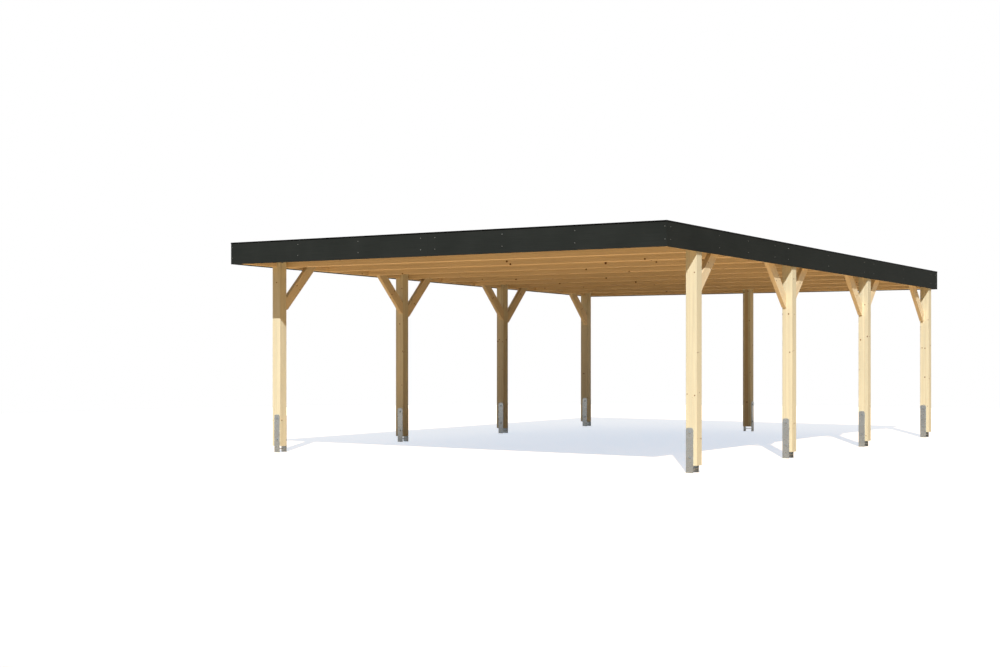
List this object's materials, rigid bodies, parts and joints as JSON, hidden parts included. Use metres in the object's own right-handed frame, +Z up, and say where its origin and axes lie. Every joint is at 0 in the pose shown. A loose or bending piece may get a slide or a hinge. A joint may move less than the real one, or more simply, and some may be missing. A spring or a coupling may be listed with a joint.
{
  "type": "free-standing double carport with a flat roof",
  "caption": "Free-standing double carport: square timber posts on steel anchors with knee braces carry a flat roof with deep dark fascia boards.",
  "frame": {"origin": "on the floor under the middle of the roof's outline", "axes": "+X to the right along the drive-in front, +Y from the front to the rear, +Z up"},
  "size_m": [5.6676, 8.2836, 2.4715],
  "materials": {
    "timber": "planed laminated spruce, untreated",
    "fascia": "planed spruce boards, opaque anthracite paint",
    "zinc": "hot-dip galvanised steel",
    "cap": "folded aluminium, black powder coat",
    "sheet": "ribbed roof sheet, anthracite coating"
  },
  "bodies": {
    "root": {"post_left_front": "timber", "anchor_left_front": "zinc", "braces_left_front": "timber", "post_left_second": "timber", "anchor_left_second": "zinc", "braces_left_second": "timber", "post_left_third": "timber", "anchor_left_third": "zinc", "braces_left_third": "timber", "post_left_rear": "timber", "anchor_left_rear": "zinc", "braces_left_rear": "timber", "purlin_left": "timber", "post_right_front": "timber", "anchor_right_front": "zinc", "braces_right_front": "timber", "post_right_second": "timber", "anchor_right_second": "zinc", "braces_right_second": "timber", "post_right_third": "timber", "anchor_right_third": "zinc", "braces_right_third": "timber", "post_right_rear": "timber", "anchor_right_rear": "zinc", "braces_right_rear": "timber", "purlin_right": "timber", "post_rear_centre": "timber", "anchor_rear_centre": "zinc", "rafter_front": "timber", "rafter_rear": "timber", "rafter_rear_posts": "timber", "rafters_front_bay": "timber", "rafters_middle_bay": "timber", "rafters_rear_bay": "timber", "fascia_front": "fascia", "fascia_rear": "fascia", "fascia_left": "fascia", "fascia_right": "fascia", "cap_front": "cap", "cap_rear": "cap", "cap_left": "cap", "cap_right": "cap", "roof_sheet": "sheet"}
  },
  "joints": []
}
